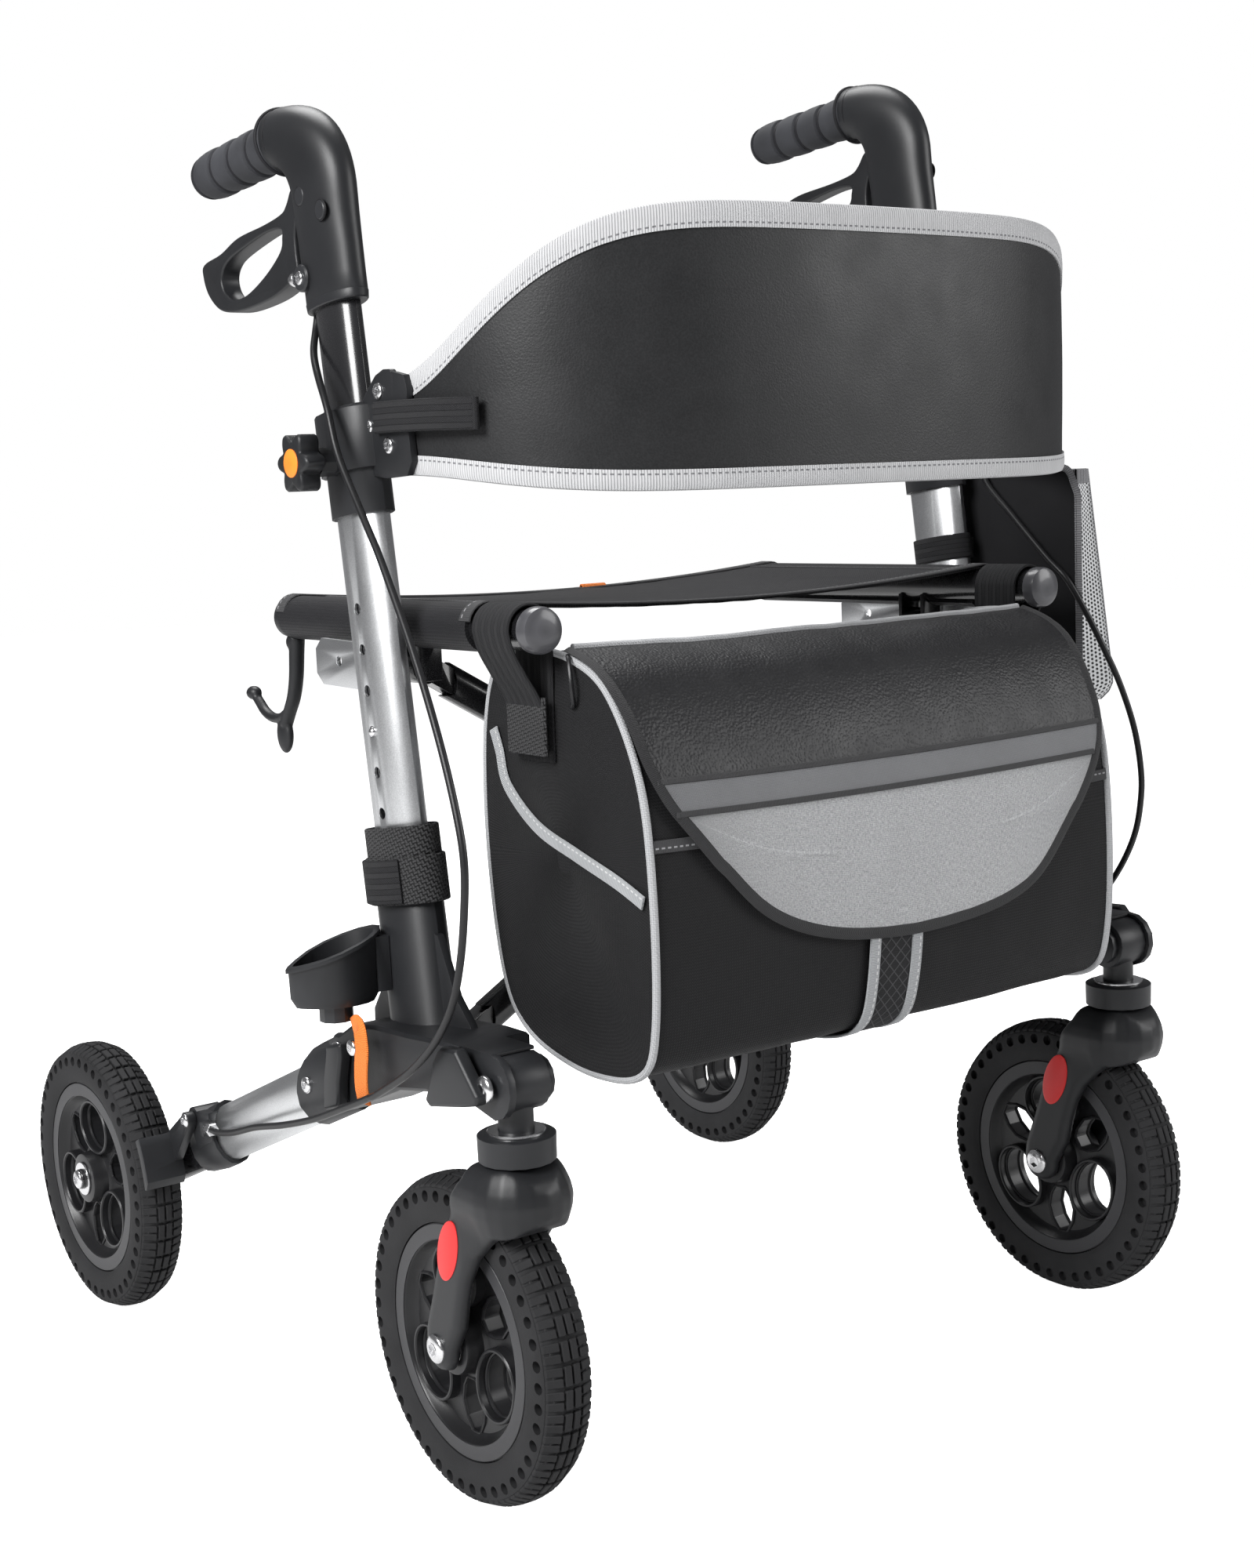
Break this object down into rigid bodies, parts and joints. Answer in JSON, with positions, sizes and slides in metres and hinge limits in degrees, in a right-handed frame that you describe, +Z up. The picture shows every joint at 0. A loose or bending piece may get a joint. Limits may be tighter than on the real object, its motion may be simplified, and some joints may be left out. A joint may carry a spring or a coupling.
{
  "type": "folding walker with seat",
  "caption": "Folding wheeled walker with a sling seat, height-adjustable handles with brake levers, a bowed backrest band, a front bag and a cross-braced tubular frame.",
  "frame": {"origin": "On the floor, at the middle of the footprint: halfway across the walker and halfway between the front of the backrest band and the rear of the rear tyres.", "axes": "+Z is up. -Y is the front, where the casters are. The user stands at +Y facing -Y, so the user's right side is at -X."},
  "size_m": [0.6357, 0.6614, 0.8879],
  "materials": {
    "silver_tube": "satin anodised tube",
    "black_tube": "black powder coat",
    "black_plastic": "moulded, fine grain",
    "grip_rubber": "soft, matte",
    "tyre_rubber": "matte, foam filled",
    "rim_plastic": "moulded",
    "steel": "plated",
    "cable_black": "smooth sleeve",
    "seat_fabric": "woven nylon",
    "bag_fabric": "woven and coated",
    "band_leather": "coated, soft grain"
  },
  "bodies": {
    "right_frame": {"corner_housing_right": "black_plastic", "upright_tube_right": "silver_tube", "tube_collar_right": "black_plastic", "backrest_bracket_right": "black_plastic", "cane_cup": "black_plastic", "upper_cable_right": "cable_black", "lower_cable_right": "cable_black", "backrest_band": "band_leather"},
    "left_frame": {"corner_housing_left": "black_plastic", "upright_tube_left": "silver_tube", "tube_collar_left": "black_plastic", "backrest_bracket_left": "black_plastic", "side_pouch": "bag_fabric", "upper_cable_left": "cable_black", "lower_cable_left": "cable_black"},
    "driving_brace": {"front_brace": "black_tube"},
    "driven_brace": {"rear_brace": "black_tube"},
    "right_seat_rail": {"seat_rail_right": "black_tube", "seat_cloth": "seat_fabric", "front_bag": "bag_fabric", "cane_hook": "black_plastic"},
    "left_seat_rail": {"seat_rail_left": "black_tube"},
    "handle_right": {"height_tube_right": "black_tube", "handle_shell_right": "black_plastic", "grip_right": "grip_rubber"},
    "lever_right": {"brake_lever_right": "black_plastic"},
    "button_right": {"height_button_right": "steel"},
    "knob_right": {"star_knob_right": "black_plastic"},
    "rear_leg_right": {"leg_fitting_right": "black_plastic", "leg_tube_right": "silver_tube", "leg_inner_tube_right": "black_tube", "brake_housing_right": "black_plastic"},
    "shoe_right": {"brake_shoe_right": "black_plastic"},
    "rear_wheel_right": {"rear_tyre_right": "tyre_rubber", "rear_rim_right": "rim_plastic"},
    "stem_right": {"front_stem_right": "black_plastic"},
    "fork_right": {"caster_fork_right": "black_plastic"},
    "front_wheel_right": {"front_tyre_right": "tyre_rubber", "front_rim_right": "rim_plastic"},
    "rear_latch_body_right": {"rear_latch_right": "black_plastic"},
    "front_latch_body_right": {"front_latch_right": "black_plastic"},
    "handle_left": {"height_tube_left": "black_tube", "handle_shell_left": "black_plastic", "grip_left": "grip_rubber"},
    "lever_left": {"brake_lever_left": "black_plastic"},
    "button_left": {"height_button_left": "steel"},
    "knob_left": {"star_knob_left": "black_plastic"},
    "rear_leg_left": {"leg_fitting_left": "black_plastic", "leg_tube_left": "silver_tube", "leg_inner_tube_left": "black_tube", "brake_housing_left": "black_plastic"},
    "shoe_left": {"brake_shoe_left": "black_plastic"},
    "rear_wheel_left": {"rear_tyre_left": "tyre_rubber", "rear_rim_left": "rim_plastic"},
    "stem_left": {"front_stem_left": "black_plastic"},
    "fork_left": {"caster_fork_left": "black_plastic"},
    "front_wheel_left": {"front_tyre_left": "tyre_rubber", "front_rim_left": "rim_plastic"},
    "rear_latch_body_left": {"rear_latch_left": "black_plastic"},
    "front_latch_body_left": {"front_latch_left": "black_plastic"}
  },
  "joints": [
    {"name": "fold", "type": "hinge", "parent": "right_frame", "child": "driving_brace", "pos_m": [-0.205, -0.14075, 0.256], "axis": [0, -1, 0], "range_deg": [0, 43.5], "deforming": ["seat_cloth", "front_bag", "backrest_band"]},
    {"name": "brace_cross", "type": "hinge", "parent": "driving_brace", "child": "driven_brace", "pos_m": [0, -0.12775, 0.374], "axis": [0, -1, 0], "range_deg": [-87, 0]},
    {"name": "left_frame_turn", "type": "hinge", "parent": "driven_brace", "child": "left_frame", "pos_m": [0.205, -0.11475, 0.256], "axis": [0, -1, 0], "range_deg": [0, 43.5]},
    {"name": "right_rail_turn", "type": "hinge", "parent": "driven_brace", "child": "right_seat_rail", "pos_m": [-0.205, -0.11475, 0.492], "axis": [0, -1, 0], "range_deg": [0, 43.5]},
    {"name": "left_rail_turn", "type": "hinge", "parent": "driving_brace", "child": "left_seat_rail", "pos_m": [0.205, -0.14075, 0.492], "axis": [0, -1, 0], "range_deg": [-43.5, 0]},
    {"name": "handle_height_right", "type": "slide", "parent": "right_frame", "child": "handle_right", "axis": [0, 0.1323, 0.9912], "range_m": [-0.05, 0.075], "deforming": ["upper_cable_right"]},
    {"name": "lever_pull_right", "type": "hinge", "parent": "handle_right", "child": "lever_right", "pos_m": [-0.2435, -0.07175, 0.782], "axis": [1, 0, 0], "range_deg": [0, 12.6], "stiffness_Nm_per_rad": 0.6, "springref_deg": -5.73},
    {"name": "button_press_right", "type": "slide", "parent": "handle_right", "child": "button_right", "axis": [1, 0, 0], "range_m": [0, 0.003], "stiffness_N_per_m": 300, "springref_m": -0.002},
    {"name": "knob_turn_right", "type": "hinge", "parent": "right_frame", "child": "knob_right", "pos_m": [-0.2435, -0.11688, 0.62], "axis": [-1, 0, 0], "continuous": true},
    {"name": "rear_leg_fold_right", "type": "hinge", "parent": "right_frame", "child": "rear_leg_right", "pos_m": [-0.262, -0.11025, 0.256], "axis": [1, 0, 0], "range_deg": [0, 72], "deforming": ["lower_cable_right"]},
    {"name": "shoe_turn_right", "type": "hinge", "parent": "rear_leg_right", "child": "shoe_right", "pos_m": [-0.262, 0.10575, 0.166], "axis": [1, 0, 0], "range_deg": [0, 1.49]},
    {"name": "rear_wheel_roll_right", "type": "hinge", "parent": "rear_leg_right", "child": "rear_wheel_right", "pos_m": [-0.2925, 0.23075, 0.1], "axis": [1, 0, 0], "continuous": true},
    {"name": "front_fold_right", "type": "hinge", "parent": "right_frame", "child": "stem_right", "pos_m": [-0.255, -0.27975, 0.2665], "axis": [-1, 0, 0], "range_deg": [0, 90]},
    {"name": "caster_swivel_right", "type": "hinge", "parent": "stem_right", "child": "fork_right", "pos_m": [-0.257, -0.27975, 0.22], "axis": [0, 0, 1], "continuous": true},
    {"name": "front_wheel_roll_right", "type": "hinge", "parent": "fork_right", "child": "front_wheel_right", "pos_m": [-0.257, -0.22725, 0.1], "axis": [1, 0, 0], "continuous": true},
    {"name": "rear_latch_lift_right", "type": "hinge", "parent": "right_frame", "child": "rear_latch_body_right", "pos_m": [-0.281, -0.12125, 0.254], "axis": [1, 0, 0], "range_deg": [0, 20], "stiffness_Nm_per_rad": 0.2, "springref_deg": -5.73},
    {"name": "front_latch_lift_right", "type": "hinge", "parent": "right_frame", "child": "front_latch_body_right", "pos_m": [-0.281, -0.24325, 0.264], "axis": [-1, 0, 0], "range_deg": [0, 20], "stiffness_Nm_per_rad": 0.2, "springref_deg": -5.73},
    {"name": "handle_height_left", "type": "slide", "parent": "left_frame", "child": "handle_left", "axis": [0, 0.1323, 0.9912], "range_m": [-0.1, 0.025], "deforming": ["upper_cable_left"]},
    {"name": "lever_pull_left", "type": "hinge", "parent": "handle_left", "child": "lever_left", "pos_m": [0.2435, -0.06514, 0.83157], "axis": [1, 0, 0], "range_deg": [0, 12.6], "stiffness_Nm_per_rad": 0.6, "springref_deg": -5.73},
    {"name": "button_press_left", "type": "slide", "parent": "handle_left", "child": "button_left", "axis": [-1, 0, 0], "range_m": [0, 0.003], "stiffness_N_per_m": 300, "springref_m": -0.002},
    {"name": "knob_turn_left", "type": "hinge", "parent": "left_frame", "child": "knob_left", "pos_m": [0.2435, -0.11688, 0.62], "axis": [1, 0, 0], "continuous": true},
    {"name": "rear_leg_fold_left", "type": "hinge", "parent": "left_frame", "child": "rear_leg_left", "pos_m": [0.262, -0.11025, 0.256], "axis": [1, 0, 0], "range_deg": [0, 72], "deforming": ["lower_cable_left"]},
    {"name": "shoe_turn_left", "type": "hinge", "parent": "rear_leg_left", "child": "shoe_left", "pos_m": [0.262, 0.10575, 0.166], "axis": [1, 0, 0], "range_deg": [0, 1.49]},
    {"name": "rear_wheel_roll_left", "type": "hinge", "parent": "rear_leg_left", "child": "rear_wheel_left", "pos_m": [0.2925, 0.23075, 0.1], "axis": [1, 0, 0], "continuous": true},
    {"name": "front_fold_left", "type": "hinge", "parent": "left_frame", "child": "stem_left", "pos_m": [0.255, -0.27975, 0.2665], "axis": [-1, 0, 0], "range_deg": [0, 90]},
    {"name": "caster_swivel_left", "type": "hinge", "parent": "stem_left", "child": "fork_left", "pos_m": [0.257, -0.27975, 0.22], "axis": [0, 0, 1], "continuous": true},
    {"name": "front_wheel_roll_left", "type": "hinge", "parent": "fork_left", "child": "front_wheel_left", "pos_m": [0.257, -0.22725, 0.1], "axis": [1, 0, 0], "continuous": true},
    {"name": "rear_latch_lift_left", "type": "hinge", "parent": "left_frame", "child": "rear_latch_body_left", "pos_m": [0.281, -0.12125, 0.254], "axis": [1, 0, 0], "range_deg": [0, 20], "stiffness_Nm_per_rad": 0.2, "springref_deg": -5.73},
    {"name": "front_latch_lift_left", "type": "hinge", "parent": "left_frame", "child": "front_latch_body_left", "pos_m": [0.281, -0.24325, 0.264], "axis": [-1, 0, 0], "range_deg": [0, 20], "stiffness_Nm_per_rad": 0.2, "springref_deg": -5.73}
  ],
  "couplings": [
    {"joint": "brace_cross", "follows": "fold", "ratio": -2},
    {"joint": "left_frame_turn", "follows": "fold", "ratio": 1},
    {"joint": "right_rail_turn", "follows": "fold", "ratio": 1},
    {"joint": "left_rail_turn", "follows": "fold", "ratio": -1},
    {"joint": "shoe_turn_right", "follows": "lever_pull_right", "ratio": 0.118},
    {"joint": "shoe_turn_left", "follows": "lever_pull_left", "ratio": 0.118}
  ]
}
